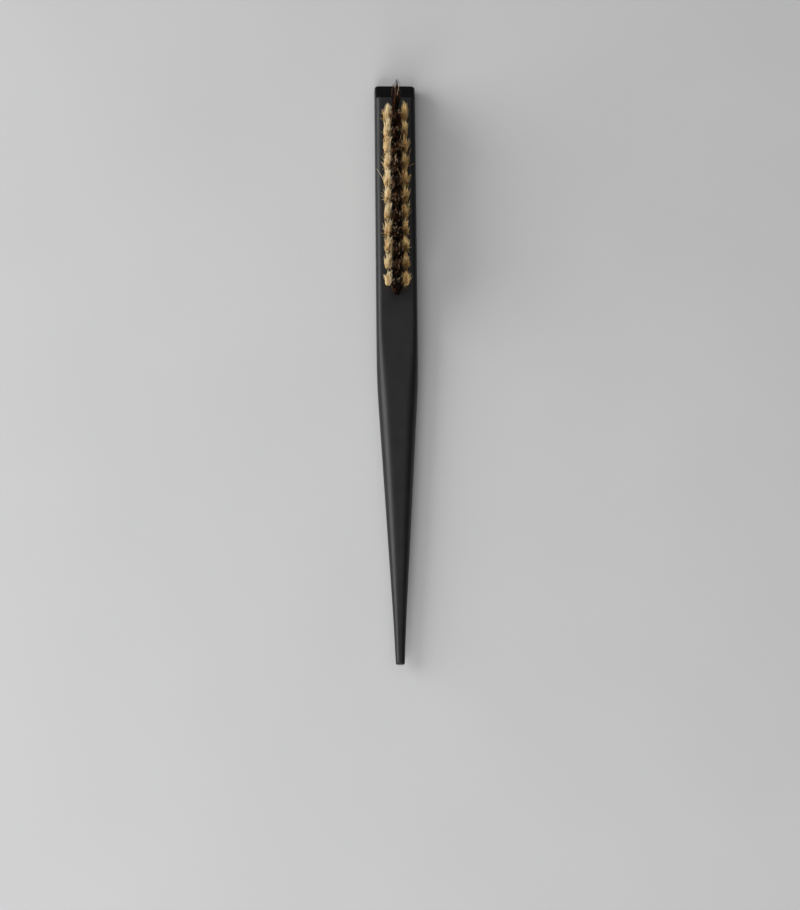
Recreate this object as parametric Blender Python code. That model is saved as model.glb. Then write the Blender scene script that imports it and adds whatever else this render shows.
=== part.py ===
"""Narrow hair dressing brush with a tail handle, lying on its back with the bristles up.

Metres, +Z up.  +Y runs along the handle to the nose of the head, +X across it.
The origin is under the middle of the brush, on the plane that its flat back rests on.

The handle is one moulding.  Each tuft is a folded bundle of bristle that a flat metal
anchor holds at the bottom of its own blind socket, in three rows: two outer rows of blonde
bristle and a longer dark row between them, half a pitch out of step.  The outer rows'
anchors are modelled.  Those of the centre row are alike, and are left out to keep the
number of pieces down.
"""

import math
import random

import bmesh
import bpy
from mathutils import Matrix, Vector

# Handle
HEAD_LENGTH = 0.111  # from the nose to where the sides start to draw in
TAIL_LENGTH = 0.119  # from there to the tip of the tail
HEAD_WIDTH = 0.01585
HEAD_THICKNESS = 0.0095
TIP_WIDTH = 0.00285  # that the tail tapers to, before its flare
TIP_THICKNESS = 0.0029
TIP_FLARE = 0.0006  # by which the end of the tail is thicker again
TIP_FLARE_LENGTH = 0.024
SHOULDER_LENGTH = 0.020  # curve between the parallel sides and the straight taper
EDGE_RADIUS = 0.0024  # along the four long edges of the head
TAIL_ROUNDNESS = 0.95  # corner radius of the tail over half its thickness
TAIL_FULLNESS = 1.9  # above 1 the thickness draws in later than the width
NOSE_LENGTH = 0.0062  # sloping facet at the nose, along the brush
NOSE_DROP = 0.0041  # and down from the bristle face
NOSE_CORNER_RADIUS = 0.0012  # corners of the nose, seen from above
NOSE_EDGE_RADIUS = 0.0008  # along the facet, where the upper long edges grow sharper
NOSE_EDGE_BLEND = 0.0004  # length over which they do
NOSE_END_RADIUS = 0.0003
TIP_END_RADIUS = 0.0006
END_RADIUS_SHARE = 0.7  # most of a section's corner radius that an end's rounding may take

# Tuft field
OUTER_TUFTS = 11  # in each outer row; the centre row has one more
ROW_SPACING = 0.0035
TUFT_PITCH = 0.0067
NOSE_TO_FIRST_TUFT = 0.01135  # nose end to the first tuft of the centre row
SOCKET_DIAMETER = 0.0026
SOCKET_DEPTH = 0.0055

# Bristles
LIGHT_BRISTLE_LENGTH = 0.0135  # standing out of the face
DARK_BRISTLE_LENGTH = 0.0160
LIGHT_TIP_SPREAD = 0.0034  # across the tips of a tuft's outer strands
DARK_TIP_SPREAD = 0.0046
END_TUFT_LEAN = 0.0042  # tips of the first dark tuft lean out over the nose
STRAND_RING = 0.00046  # thickness of the outer strands where they leave the root
STRAND_GAP = 0.00009  # between neighbouring strands there
TIP_TAPER = 0.45  # strand thickness at the tip over that at the root
LENGTH_JITTER = 0.0005
LEAN_JITTER = 0.00012
BRISTLE_SEED = 7

# Anchors
ANCHOR_THICKNESS = 0.0004
ANCHOR_HEIGHT = 0.0018
ANCHOR_BITE = 0.0003  # how far each end cuts into the socket's wall
FOLD_THICKNESS = 0.0006  # folded bristle between the anchor and the socket's floor

# Fits, cuts and facets
CLEARANCE = 0.0002  # between pieces that are pushed together
CUT_MARGIN = 0.004  # how far a cutter stands clear of what it cuts
CORNER_STEPS = 5
SHOULDER_STEPS = 8
TAIL_STEPS = 6
FLARE_STEPS = 3
END_STEPS = 4
SHARP_ANGLE = math.radians(30)
SOCKET_SIDES = 12
ROOT_SIDES = 6  # one outer and one inner strand for each side

# Worked out from the sizes above
NOSE_Y = (HEAD_LENGTH + TAIL_LENGTH) / 2
TIP_Y = -NOSE_Y
SHOULDER_Y = NOSE_Y - HEAD_LENGTH
CREASE_Y = NOSE_Y - NOSE_LENGTH
FACE_Z = HEAD_THICKNESS
ROOT_RADIUS = SOCKET_DIAMETER / 2 - CLEARANCE
ROOT_HEIGHT = SOCKET_DEPTH - CLEARANCE
SLOT_WIDTH = ANCHOR_THICKNESS + 2 * CLEARANCE
SLOT_HEIGHT = ANCHOR_HEIGHT + 2 * CLEARANCE
ANCHOR_LENGTH = SOCKET_DIAMETER + 2 * ANCHOR_BITE
ANCHOR_Z = FOLD_THICKNESS + SLOT_HEIGHT / 2 - ROOT_HEIGHT  # middle of an anchor, from the face


def clear_scene():
    for obj in list(bpy.data.objects):
        bpy.data.objects.remove(obj, do_unlink=True)


def new_collection(name):
    collection = bpy.data.collections.new(name)
    bpy.context.scene.collection.children.link(collection)
    return collection


def new_material(name, colour, roughness, metallic=0.0):
    material = bpy.data.materials.new(name)
    material.use_nodes = True
    shader = material.node_tree.nodes["Principled BSDF"]
    shader.inputs["Base Color"].default_value = (*colour, 1.0)
    shader.inputs["Roughness"].default_value = roughness
    shader.inputs["Metallic"].default_value = metallic
    material.diffuse_color = (*colour, 1.0)
    return material


def mesh_from(bm, name):
    bmesh.ops.recalc_face_normals(bm, faces=bm.faces)
    mesh = bpy.data.meshes.new(name)
    bm.to_mesh(mesh)
    bm.free()
    return mesh


def add_object(name, mesh, collection, parent=None, location=(0, 0, 0), material=None):
    obj = bpy.data.objects.new(name, mesh)
    obj.location = location
    obj.parent = parent
    collection.objects.link(obj)
    if material is not None and not mesh.materials:
        mesh.materials.append(material)
    return obj


def add_cutter(name, mesh, collection, location=(0, 0, 0)):
    cutter = add_object(name, mesh, collection, location=location)
    cutter.hide_render = True
    cutter.display_type = "WIRE"
    return cutter


def add_boolean(obj, operation, other):
    """A Boolean with one cutter, or with a collection of them."""
    modifier = obj.modifiers.new(operation.lower(), "BOOLEAN")
    modifier.operation = operation
    modifier.solver = "EXACT"
    if isinstance(other, bpy.types.Collection):
        modifier.operand_type = "COLLECTION"
        modifier.collection = other
    else:
        modifier.object = other


def box_mesh(name, size):
    bm = bmesh.new()
    bmesh.ops.create_cube(bm, size=1.0, matrix=Matrix.Diagonal((*size, 1.0)))
    return mesh_from(bm, name)


def prism_mesh(name, radius, bottom, top, sides):
    """An upright prism between two heights."""
    bm = bmesh.new()
    middle = Matrix.Translation((0, 0, (top + bottom) / 2))
    bmesh.ops.create_cone(
        bm,
        cap_ends=True,
        segments=sides,
        radius1=radius,
        radius2=radius,
        depth=top - bottom,
        matrix=middle,
    )
    return mesh_from(bm, name)


def combined_mesh(name, body, operation, tool, tool_location, collection):
    """The mesh that one Boolean makes of two others."""
    base = add_cutter(name, body, collection)
    other = add_cutter(name + "_tool", tool, collection, tool_location)
    add_boolean(base, operation, other)
    graph = bpy.context.evaluated_depsgraph_get()
    mesh = bpy.data.meshes.new_from_object(base.evaluated_get(graph))
    mesh.name = name
    bpy.data.objects.remove(base, do_unlink=True)
    bpy.data.objects.remove(other, do_unlink=True)
    return mesh


# Handle


def drawn_in(y):
    """How far a station has tapered: 0 along the head, 1 at the tip of the tail."""
    below = SHOULDER_Y - y
    straight = TAIL_LENGTH - SHOULDER_LENGTH / 2
    if below <= 0:
        return 0.0
    if below < SHOULDER_LENGTH:
        return below**2 / (2 * SHOULDER_LENGTH) / straight
    return (below - SHOULDER_LENGTH / 2) / straight


def eased(share):
    share = min(max(share, 0.0), 1.0)
    return share * share * (3 - 2 * share)


def section_sizes(y):
    """Half width, half thickness, upper and lower corner radius and middle height at one station."""
    taper = drawn_in(y)
    flare = TIP_FLARE * max(0.0, 1 - (y - TIP_Y) / TIP_FLARE_LENGTH) ** 2
    fall = NOSE_DROP * max(0.0, (y - CREASE_Y) / NOSE_LENGTH)
    corner = max(0.0, NOSE_CORNER_RADIUS - (NOSE_Y - y))
    half_width = (HEAD_WIDTH + (TIP_WIDTH - HEAD_WIDTH) * taper + flare) / 2
    half_width -= NOSE_CORNER_RADIUS - math.sqrt(NOSE_CORNER_RADIUS**2 - corner**2)
    thickness = HEAD_THICKNESS + (TIP_THICKNESS - HEAD_THICKNESS) * taper**TAIL_FULLNESS
    half_thickness = (thickness + flare - fall) / 2
    tail_radius = TAIL_ROUNDNESS * min(half_width, half_thickness)
    sharper = min(max(0.0, (y - CREASE_Y) / NOSE_EDGE_BLEND), 1.0)
    round_share = eased((SHOULDER_Y - y) / SHOULDER_LENGTH)
    radii = []
    for head_radius in (EDGE_RADIUS + (NOSE_EDGE_RADIUS - EDGE_RADIUS) * sharper, EDGE_RADIUS):
        head_radius = min(head_radius, tail_radius)
        radii.append(head_radius + (tail_radius - head_radius) * round_share)
    return half_width, half_thickness, *radii, (HEAD_THICKNESS - fall) / 2


def section_ring(bm, y, inset):
    """A rounded rectangle across the handle, drawn in by inset where an end is rounded over."""
    half_width, half_thickness, upper_radius, lower_radius, middle = section_sizes(y)
    ring = []
    for quarter, (side_x, side_z) in enumerate(((1, 1), (-1, 1), (-1, -1), (1, -1))):
        radius = upper_radius if side_z > 0 else lower_radius
        for step in range(CORNER_STEPS + 1):
            angle = (quarter + step / CORNER_STEPS) * math.pi / 2
            x = side_x * (half_width - radius) + (radius - inset) * math.cos(angle)
            z = side_z * (half_thickness - radius) + (radius - inset) * math.sin(angle)
            ring.append(bm.verts.new((x, y, middle + z)))
    return ring


def end_stations(end_y, inward, wanted_radius):
    """Stations of a rounded end, from the end inwards, each with how far its section is drawn in."""
    radius = min(wanted_radius, END_RADIUS_SHARE * section_sizes(end_y)[2])
    stations = []
    for step in range(END_STEPS + 1):
        angle = step / END_STEPS * math.pi / 2
        stations.append((end_y + inward * radius * (1 - math.cos(angle)), radius * (1 - math.sin(angle))))
    return stations


def handle_mesh():
    """A loft from the tip to the nose: a slim rounded tail, a flat-sided head and its sloping facet."""
    stations = end_stations(TIP_Y, 1, TIP_END_RADIUS)
    for step in range(1, FLARE_STEPS + 1):
        stations.append((TIP_Y + TIP_FLARE_LENGTH * step / FLARE_STEPS, 0.0))
    straight = TAIL_LENGTH - SHOULDER_LENGTH - TIP_FLARE_LENGTH
    for step in range(1, TAIL_STEPS):
        stations.append((TIP_Y + TIP_FLARE_LENGTH + straight * step / TAIL_STEPS, 0.0))
    for step in range(SHOULDER_STEPS, -1, -1):
        stations.append((SHOULDER_Y - SHOULDER_LENGTH * step / SHOULDER_STEPS, 0.0))
    stations.extend(((CREASE_Y, 0.0), (CREASE_Y + NOSE_EDGE_BLEND, 0.0)))
    nose_end = end_stations(NOSE_Y, -1, NOSE_END_RADIUS)
    for step in range(END_STEPS, 0, -1):
        corner_y = NOSE_Y - NOSE_CORNER_RADIUS * (1 - math.cos(step / END_STEPS * math.pi / 2))
        if corner_y < nose_end[-1][0]:
            stations.append((corner_y, 0.0))
    stations.extend(reversed(nose_end))
    bm = bmesh.new()
    rings = [section_ring(bm, y, inset) for y, inset in stations]
    for near, far in zip(rings, rings[1:]):
        for index in range(len(near)):
            after = (index + 1) % len(near)
            bm.faces.new((near[index], near[after], far[after], far[index]))
    bm.faces.new(rings[0])
    bm.faces.new(rings[-1])
    mesh = mesh_from(bm, "handle_body")
    mesh.shade_smooth()
    mesh.set_sharp_from_angle(angle=SHARP_ANGLE)
    return mesh


def socket_mesh(collection):
    """A cutter for one tuft's socket, with the nicks that the anchor's ends cut in its wall."""
    bore = prism_mesh("bore", SOCKET_DIAMETER / 2, -SOCKET_DEPTH, CUT_MARGIN, SOCKET_SIDES)
    nick = box_mesh("nick", (SLOT_WIDTH, ANCHOR_LENGTH + 2 * CLEARANCE, SLOT_HEIGHT))
    return combined_mesh("socket", bore, "UNION", nick, (0, 0, ANCHOR_Z), collection)


# Tufts and anchors


def tuft_places():
    """Row, number, place on the bristle face and lean along the row, for every tuft."""
    first_y = NOSE_Y - NOSE_TO_FIRST_TUFT
    for row, x, start, count in (
        ("left", -ROW_SPACING, TUFT_PITCH / 2, OUTER_TUFTS),
        ("centre", 0.0, 0.0, OUTER_TUFTS + 1),
        ("right", ROW_SPACING, TUFT_PITCH / 2, OUTER_TUFTS),
    ):
        for index in range(count):
            lean = END_TUFT_LEAN if row == "centre" and index == 0 else 0.0
            yield row, index + 1, Vector((x, first_y - start - index * TUFT_PITCH, FACE_Z)), lean


def root_mesh(collection):
    """The folded end of a tuft, which fills its socket, with the slot that the anchor sits in."""
    plug = prism_mesh("plug", ROOT_RADIUS, -ROOT_HEIGHT, 0.0, ROOT_SIDES)
    slot = box_mesh("slot", (SLOT_WIDTH, SOCKET_DIAMETER, SLOT_HEIGHT))
    return combined_mesh("tuft_root", plug, "DIFFERENCE", slot, (0, 0, ANCHOR_Z), collection)


def tuft_mesh(name, root, length, spread, lean, draw):
    """Strands drawn out of the top of a root: a ring of four-sided ones round three-sided ones."""
    bm = bmesh.new()
    bm.from_mesh(root)
    top = max(bm.faces, key=lambda face: face.calc_center_median().z)
    strands = bmesh.ops.inset_region(bm, faces=[top], thickness=STRAND_RING)["faces"]
    strands += bmesh.ops.poke(bm, faces=[top])["faces"]
    bmesh.ops.inset_individual(bm, faces=strands, thickness=STRAND_GAP / 2)
    tips = bmesh.ops.extrude_discrete_faces(bm, faces=strands)["faces"]
    starts = [tip.calc_center_median() for tip in tips]
    fan = spread / 2 / max(start.xy.length for start in starts)
    for tip, start in zip(tips, starts):
        end = Vector((start.x * fan, start.y * fan + lean, length))
        end += Vector((draw.uniform(-1, 1), draw.uniform(-1, 1), 0)) * LEAN_JITTER
        end.z += draw.uniform(-1, 1) * LENGTH_JITTER
        for corner in tip.verts:
            corner.co = end + (corner.co - start) * TIP_TAPER
    return mesh_from(bm, name)


def add_tufts_and_anchors(brush, collection, cutters, sockets, materials):
    """Every tuft with the cutter for its socket, and the outer rows' anchors."""
    draw = random.Random(BRISTLE_SEED)
    root = root_mesh(cutters)
    socket = socket_mesh(cutters)
    anchor = box_mesh("anchor", (ANCHOR_THICKNESS, ANCHOR_LENGTH, ANCHOR_HEIGHT))
    for row, number, place, lean in tuft_places():
        add_cutter(f"socket_{row}_{number:02d}", socket, sockets, place)
        name = f"{row}_tuft_{number:02d}"
        if row == "centre":
            tuft = tuft_mesh(name, root, DARK_BRISTLE_LENGTH, DARK_TIP_SPREAD, lean, draw)
            add_object(name, tuft, collection, brush, place, materials["dark_bristle"])
            continue
        tuft = tuft_mesh(name, root, LIGHT_BRISTLE_LENGTH, LIGHT_TIP_SPREAD, lean, draw)
        add_object(name, tuft, collection, brush, place, materials["blonde_bristle"])
        seat = place + Vector((0, 0, ANCHOR_Z))
        add_object(f"{row}_anchor_{number:02d}", anchor, collection, brush, seat, materials["anchor_metal"])
    bpy.data.meshes.remove(root)


def main():
    clear_scene()
    collection = new_collection("dressing_brush")
    cutters = new_collection("cutters")
    sockets = new_collection("socket_cutters")
    materials = {
        "handle_plastic": new_material("handle_plastic", (0.012, 0.012, 0.0125), 0.42),
        "blonde_bristle": new_material("blonde_bristle", (0.55, 0.38, 0.19), 0.55),
        "dark_bristle": new_material("dark_bristle", (0.020, 0.013, 0.010), 0.45),
        "anchor_metal": new_material("anchor_metal", (0.60, 0.47, 0.22), 0.35, 1.0),
    }
    brush = bpy.data.objects.new("dressing_brush", None)
    collection.objects.link(brush)
    handle = add_object("handle_body", handle_mesh(), collection, brush, material=materials["handle_plastic"])
    add_tufts_and_anchors(brush, collection, cutters, sockets, materials)
    add_boolean(handle, "DIFFERENCE", sockets)


main()
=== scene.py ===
"""Handle, bristles, anchors and studio for a narrow hair dressing brush with a tail handle.

The brush lies on its back.  +Y runs along the handle to the nose of the head, +X across the head
and +Z out of the bristle face.  Everything is in metres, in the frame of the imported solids.
"""

import math

import bpy
from bpy.props import FloatProperty, FloatVectorProperty, IntProperty, PointerProperty
from bpy.types import Operator, Panel, PropertyGroup
from mathutils import Matrix, Vector


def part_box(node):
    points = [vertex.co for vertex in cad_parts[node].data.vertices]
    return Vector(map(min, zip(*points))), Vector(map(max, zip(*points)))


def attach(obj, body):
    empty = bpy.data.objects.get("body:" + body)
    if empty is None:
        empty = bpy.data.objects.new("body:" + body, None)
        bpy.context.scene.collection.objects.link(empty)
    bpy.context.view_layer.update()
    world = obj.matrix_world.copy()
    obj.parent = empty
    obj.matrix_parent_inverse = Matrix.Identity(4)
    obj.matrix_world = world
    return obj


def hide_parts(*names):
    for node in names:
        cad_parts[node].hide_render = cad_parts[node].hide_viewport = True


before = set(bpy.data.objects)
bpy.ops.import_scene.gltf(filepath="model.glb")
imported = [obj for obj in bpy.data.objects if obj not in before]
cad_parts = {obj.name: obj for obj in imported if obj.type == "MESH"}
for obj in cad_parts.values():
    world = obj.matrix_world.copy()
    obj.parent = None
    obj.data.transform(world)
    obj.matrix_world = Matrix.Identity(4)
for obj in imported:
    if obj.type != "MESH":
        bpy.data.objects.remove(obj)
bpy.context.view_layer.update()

bl_info = {
    "name": "Tail handle dressing brush",
    "version": (1, 0, 0),
    "blender": (4, 5, 0),
    "location": "3D View > Sidebar > Brush",
    "description": "Builds the handle, the bristle tufts, their anchors and a plain studio",
    "category": "Add Mesh",
}

BODY = "root"
HANDLE_NODE = "handle_body"
handle_low, handle_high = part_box(HANDLE_NODE)
LIGHT_TUFTS = sorted(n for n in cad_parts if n.startswith(("left_tuft", "right_tuft")))
DARK_TUFTS = sorted(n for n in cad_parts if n.startswith("centre_tuft"))
SIDE_ANCHORS = sorted(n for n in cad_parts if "_anchor_" in n)
ROOT_BELOW_FACE = 0.001


def length_setting(name, description, default):
    """A size in metres that a user would change."""
    return FloatProperty(name=name, description=description, default=default, min=0.0, precision=5,
                         step=0.01, unit="LENGTH")


def share_setting(name, description, default):
    """A share from 0 to 1."""
    return FloatProperty(name=name, description=description, default=default, min=0.0, max=1.0,
                         subtype="FACTOR")


def plain_setting(name, description, default):
    """A number without a unit, such as a ratio, an exponent or a brightness."""
    return FloatProperty(name=name, description=description, default=default, min=0.0)


def angle_setting(name, description, degrees):
    """An angle, given in degrees."""
    return FloatProperty(name=name, description=description, default=math.radians(degrees),
                         subtype="ANGLE")


def colour_setting(name, description, default):
    """A linear colour."""
    return FloatVectorProperty(name=name, description=description, default=default, size=3, min=0.0,
                               max=1.0, subtype="COLOR")


class HandleSettings(PropertyGroup):
    """Sizes and finish of the moulded handle."""

    head_length: length_setting("Head length", "Straight part that carries the bristles", 0.111)
    head_width: length_setting("Head width", "Across the bristle face", handle_high.x - handle_low.x)
    head_thickness: length_setting("Head thickness", "From back to bristle face",
                                   handle_high.z - handle_low.z)
    edge_radius: length_setting("Edge radius", "Rounding of the head's long edges", 0.0024)
    shoulder_length: length_setting("Shoulder length", "Where the head eases into the tail", 0.020)
    edge_lead: length_setting("Edge lead", "How far before the shoulder the edges grow rounder", 0.016)
    tip_width: length_setting("Tip width", "Width that the tail tapers to", 0.00285)
    tip_thickness: length_setting("Tip thickness", "Thickness that the tail tapers to", 0.0029)
    tip_flare: length_setting("Tip flare", "By which the tail's end is thicker again", 0.0006)
    tip_flare_length: length_setting("Tip flare length", "How far from the end that starts", 0.024)
    tail_roundness: share_setting("Tail roundness", "1 makes the tail's section fully round", 0.95)
    tail_fullness: plain_setting("Tail fullness", "Above 1 the thickness draws in later than the width", 1.9)
    nose_length: length_setting("Nose length", "Length of the sloping nose facet", 0.0062)
    nose_drop: length_setting("Nose drop", "How far the nose facet falls", 0.0041)
    nose_corner_radius: length_setting("Nose corner radius", "Corners of the nose from above", 0.0012)
    nose_edge_radius: length_setting("Nose edge radius", "Rounding along the facet", 0.0008)
    nose_edge_blend: length_setting("Nose edge blend", "Where the upper edges grow sharper", 0.0004)
    nose_end_radius: length_setting("Nose end radius", "Rounding of the nose's end", 0.0003)
    tip_end_radius: length_setting("Tip end radius", "Rounding of the tail's end", 0.0006)
    crease_softness: length_setting("Crease softness", "Softness of the facet's upper edge", 0.00012)
    socket_diameter: length_setting("Socket diameter", "Hole that takes one tuft", 0.0026)
    socket_depth: length_setting("Socket depth", "Depth of a tuft's hole", 0.0055)
    socket_rim: length_setting("Socket rim", "Chamfer at the mouth of a tuft's hole", 0.00018)
    plastic_colour: colour_setting("Plastic", "Black of the moulding", (0.0075, 0.0075, 0.0082))
    plastic_roughness: share_setting("Roughness", "Satin finish of the moulding", 0.40)
    facet_roughness: share_setting("Facet roughness", "Finer finish of the nose facet", 0.12)


BRISTLE_SETTINGS = {
    "length": (length_setting, "Length", "From the face to the tips"),
    "strand_diameter": (length_setting, "Strand diameter", "One bristle at its root"),
    "tip_taper": (share_setting, "Tip taper", "How much thinner its tip is"),
    "tip_radius": (length_setting, "Tip radius", "Radius of the opened tuft"),
    "tip_scatter": (length_setting, "Tip scatter", "How far a tip strays from its place"),
    "length_scatter": (length_setting, "Length scatter", "Uneven length of the bristles"),
    "opening": (plain_setting, "Opening", "How soon above the face a tuft opens"),
    "crown": (length_setting, "Crown", "How much lower the outer tips stand"),
    "merge_tail": (plain_setting, "Merge, tail end", "How much wider a tuft opens along the row there"),
    "merge_nose": (plain_setting, "Merge, nose end", "How much wider a tuft opens along the row there"),
    "clumping": (share_setting, "Clumping", "How far the tips gather into wisps"),
    "splay": (length_setting, "Splay", "How far some wisps turn out at their tips"),
    "loose_tail": (share_setting, "Loose, tail end", "Bristles outside the wisps at that end of a row"),
    "loose_nose": (share_setting, "Loose, nose end", "Bristles outside the wisps at that end of a row"),
    "wisp_point": (length_setting, "Wisp point", "Length over which a wisp thins out"),
    "tuft_sway": (length_setting, "Tuft sway", "How far a whole tuft leans"),
    "stray_share": (share_setting, "Stray share", "Bristles that stand apart"),
    "stray_reach": (length_setting, "Stray reach", "How far those stand out"),
    "bow": (length_setting, "Bow", "Bend of a single bristle"),
}


def bristle_settings(strands, **defaults):
    """The settings that both kinds of bristle have, with the defaults of one kind."""
    shared = {"strands": IntProperty(name="Strands", description="Bristles in one tuft", default=strands,
                                     min=20)}
    for name, (setting, label, description) in BRISTLE_SETTINGS.items():
        shared[name] = setting(label, description, defaults[name])
    return shared


class LightBristleSettings(PropertyGroup):
    """The blonde natural bristle of the two outer rows."""

    __annotations__ = bristle_settings(
        strands=130, length=0.0180, strand_diameter=0.00020, tip_taper=0.7, tip_radius=0.00145,
        tip_scatter=0.00025, length_scatter=0.0024, opening=1.4, crown=0.0125, merge_tail=1.2,
        merge_nose=2.2, clumping=1.0, splay=0.0011, loose_tail=0.10, loose_nose=0.55, wisp_point=0.0044,
        tuft_sway=0.0005, stray_share=0.012, stray_reach=0.0034, bow=0.00015)
    left_merge: plain_setting("Left merge", "How much more the left row's tufts merge", 1.35)
    first_merge: plain_setting("First merge", "The same for the left row's first tuft", 0.5)
    right_lean: length_setting("Right lean", "How far the right row leans to the left", 0.0005)
    root_colour: colour_setting("Root", "Bristle colour at the face", (0.92, 0.67, 0.31))
    tip_colour: colour_setting("Tip", "Bristle colour at the tips", (0.79, 0.66, 0.41))
    tan_tint: colour_setting("Tan tint", "By which the browner wisps are deeper", (0.72, 0.57, 0.39))
    # Painted shade: a tint that darkens the whole right row, as if it lay in the centre row's shadow
    right_row_painted_shade: colour_setting("Right row painted shade", "By which the right row is deeper", (1.0, 0.91, 0.70))


class DarkBristleSettings(PropertyGroup):
    """The longer dark bristle of the centre row."""

    __annotations__ = bristle_settings(
        strands=160, length=0.0180, strand_diameter=0.00017, tip_taper=0.3, tip_radius=0.0021,
        tip_scatter=0.0012, length_scatter=0.0040, opening=1.3, crown=0.0060, merge_tail=1.0,
        merge_nose=1.0, clumping=0.0, splay=0.0, loose_tail=0.0, loose_nose=0.0, wisp_point=0.0005,
        tuft_sway=0.0004, stray_share=0.05, stray_reach=0.0014, bow=0.0004)
    end_lean: length_setting("End lean", "How far the first tuft leans over the nose", 0.0046)
    end_share: share_setting("End share", "Bristles left in the first tuft", 0.45)
    end_spread: share_setting("End spread", "How wide the first tuft opens", 0.6)
    strand_colour: colour_setting("Dark", "Most of the bristles", (0.0035, 0.0018, 0.0008))
    warm_colour: colour_setting("Warm", "Red-brown bristles among them", (0.15, 0.053, 0.019))
    pale_colour: colour_setting("Pale", "The few pale bristles", (0.60, 0.43, 0.27))


class AnchorSettings(PropertyGroup):
    """The metal plates that hold the tufts in their sockets."""

    thickness: length_setting("Thickness", "Across the head", 0.0004)
    length: length_setting("Length", "Along the head", 0.0032)
    height: length_setting("Height", "Along the bristles", 0.0018)
    edge: length_setting("Edge", "Chamfer of the stamped edges", 0.00006)
    metal_colour: colour_setting("Metal", "Brass of the anchors", (0.60, 0.47, 0.22))


class StageSettings(PropertyGroup):
    """Floor, light and camera."""

    floor_colour: colour_setting("Floor", "Pale grey floor", (0.40, 0.40, 0.405))
    camera_elevation: angle_setting("Camera elevation", "Above the horizon", 76.0)
    camera_side: angle_setting("Camera side", "How far round to the left it stands", 2.7)
    camera_roll: angle_setting("Camera roll", "Lean of the brush in the picture", 0.590)
    camera_distance: length_setting("Camera distance", "From the middle of the brush", 1.1)
    camera_lens: FloatProperty(name="Lens", description="Focal length", default=112.57, unit="CAMERA")
    side_panel: plain_setting("Side panel", "Brightness of the panel on the left", 5.9)
    front_panel: plain_setting("Front panel", "Brightness of the panel in front", 7.4)
    sky_top: plain_setting("Overhead light", "Brightest part of the sky", 0.70)
    sky_side: plain_setting("Horizon light", "Brightness away from it", 0.03)


def labelled(settings, *names):
    """The values of those settings under their labels, which are a tree's input names."""
    rules = settings.bl_rna.properties
    return {rules[name].name: getattr(settings, name) for name in names}


# Node trees

SOCKET_KINDS = (
    (int, "NodeSocketInt"),
    (float, "NodeSocketFloat"),
    (Vector, "NodeSocketVector"),
    (bpy.types.Object, "NodeSocketObject"),
    (bpy.types.Material, "NodeSocketMaterial"),
)


class Field:
    """A value on a node tree's wire; arithmetic on it adds the matching Math nodes."""

    def __init__(self, nodes, socket):
        self.nodes = nodes
        self.socket = socket

    def __add__(self, other):
        return self.nodes.math("ADD", self, other)

    def __radd__(self, other):
        return self.nodes.math("ADD", other, self)

    def __sub__(self, other):
        return self.nodes.math("SUBTRACT", self, other)

    def __rsub__(self, other):
        return self.nodes.math("SUBTRACT", other, self)

    def __mul__(self, other):
        return self.nodes.math("MULTIPLY", self, other)

    def __truediv__(self, other):
        return self.nodes.math("DIVIDE", self, other)

    def __pow__(self, other):
        return self.nodes.math("POWER", self, other)


class Nodes:
    """Adds nodes to a tree and wires them up."""

    def __init__(self, tree):
        self.tree = tree

    def feed(self, socket, value):
        """Links a field to the socket, or sets a plain value on it."""
        if isinstance(value, Field):
            self.tree.links.new(value.socket, socket)
        elif isinstance(value, bpy.types.NodeSocket):
            self.tree.links.new(value, socket)
        else:
            socket.default_value = value

    def add(self, kind, inputs=None, **settings):
        """A new node with its settings and inputs; inputs are named by socket name or place."""
        node = self.tree.nodes.new(kind)
        for name, value in settings.items():
            setattr(node, name, value)
        for key, value in (inputs or {}).items():
            self.feed(node.inputs[key], value)
        return node

    def field(self, kind, inputs=None, output=0, **settings):
        """A new node's output as a field."""
        return Field(self, self.add(kind, inputs, **settings).outputs[output])

    def math(self, operation, *operands):
        return self.field("ShaderNodeMath", dict(enumerate(operands)), operation=operation)

    def ramp(self, value, low, high, start=0.0, end=1.0, smooth=False):
        """Runs from start to end as value goes from low to high, and holds outside."""
        return self.field("ShaderNodeMapRange",
                          {0: value, 1: low, 2: high, 3: start, 4: end},
                          interpolation_type="SMOOTHSTEP" if smooth else "LINEAR")

    def blend(self, share, first, second):
        return first + (second - first) * share

    def vector(self, x, y, z):
        return self.field("ShaderNodeCombineXYZ", {0: x, 1: y, 2: z})

    def parts(self, vector):
        node = self.add("ShaderNodeSeparateXYZ", {0: vector})
        return [Field(self, output) for output in node.outputs]

    def named(self, name, kind="FLOAT"):
        """A named attribute's value."""
        return self.field("GeometryNodeInputNamedAttribute", {"Name": name}, data_type=kind)

    def store(self, geometry, name, value, kind="FLOAT"):
        """Keeps a value on the points under a name, and gives the geometry."""
        return self.field("GeometryNodeStoreNamedAttribute",
                          {"Geometry": geometry, "Name": name, "Value": value}, data_type=kind)

    def forget(self, geometry, *names):
        """Drops named attributes that are no longer needed."""
        for name in names:
            geometry = self.field("GeometryNodeRemoveAttribute", {"Geometry": geometry, "Name": name})
        return geometry

    def random(self, low, high, item, seed):
        """A random number from low to high for each item."""
        node = self.add("FunctionNodeRandomValue", {"ID": item, "Seed": seed}, data_type="FLOAT")
        self.feed(node.inputs[2], low)
        self.feed(node.inputs[3], high)
        return Field(self, node.outputs[1])


def geometry_tree(name, sizes):
    """A new geometry tree with one named input for each size; gives its nodes and its inputs."""
    tree = bpy.data.node_groups.new(name, "GeometryNodeTree")
    tree.interface.new_socket("Geometry", in_out="INPUT", socket_type="NodeSocketGeometry")
    for label, value in sizes.items():
        kind = next(socket for python, socket in SOCKET_KINDS if isinstance(value, python))
        tree.interface.new_socket(label, in_out="INPUT", socket_type=kind)
    tree.interface.new_socket("Geometry", in_out="OUTPUT", socket_type="NodeSocketGeometry")
    nodes = Nodes(tree)
    entry = nodes.add("NodeGroupInput")
    return nodes, {socket.name: Field(nodes, socket) for socket in entry.outputs if socket.name}


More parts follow.
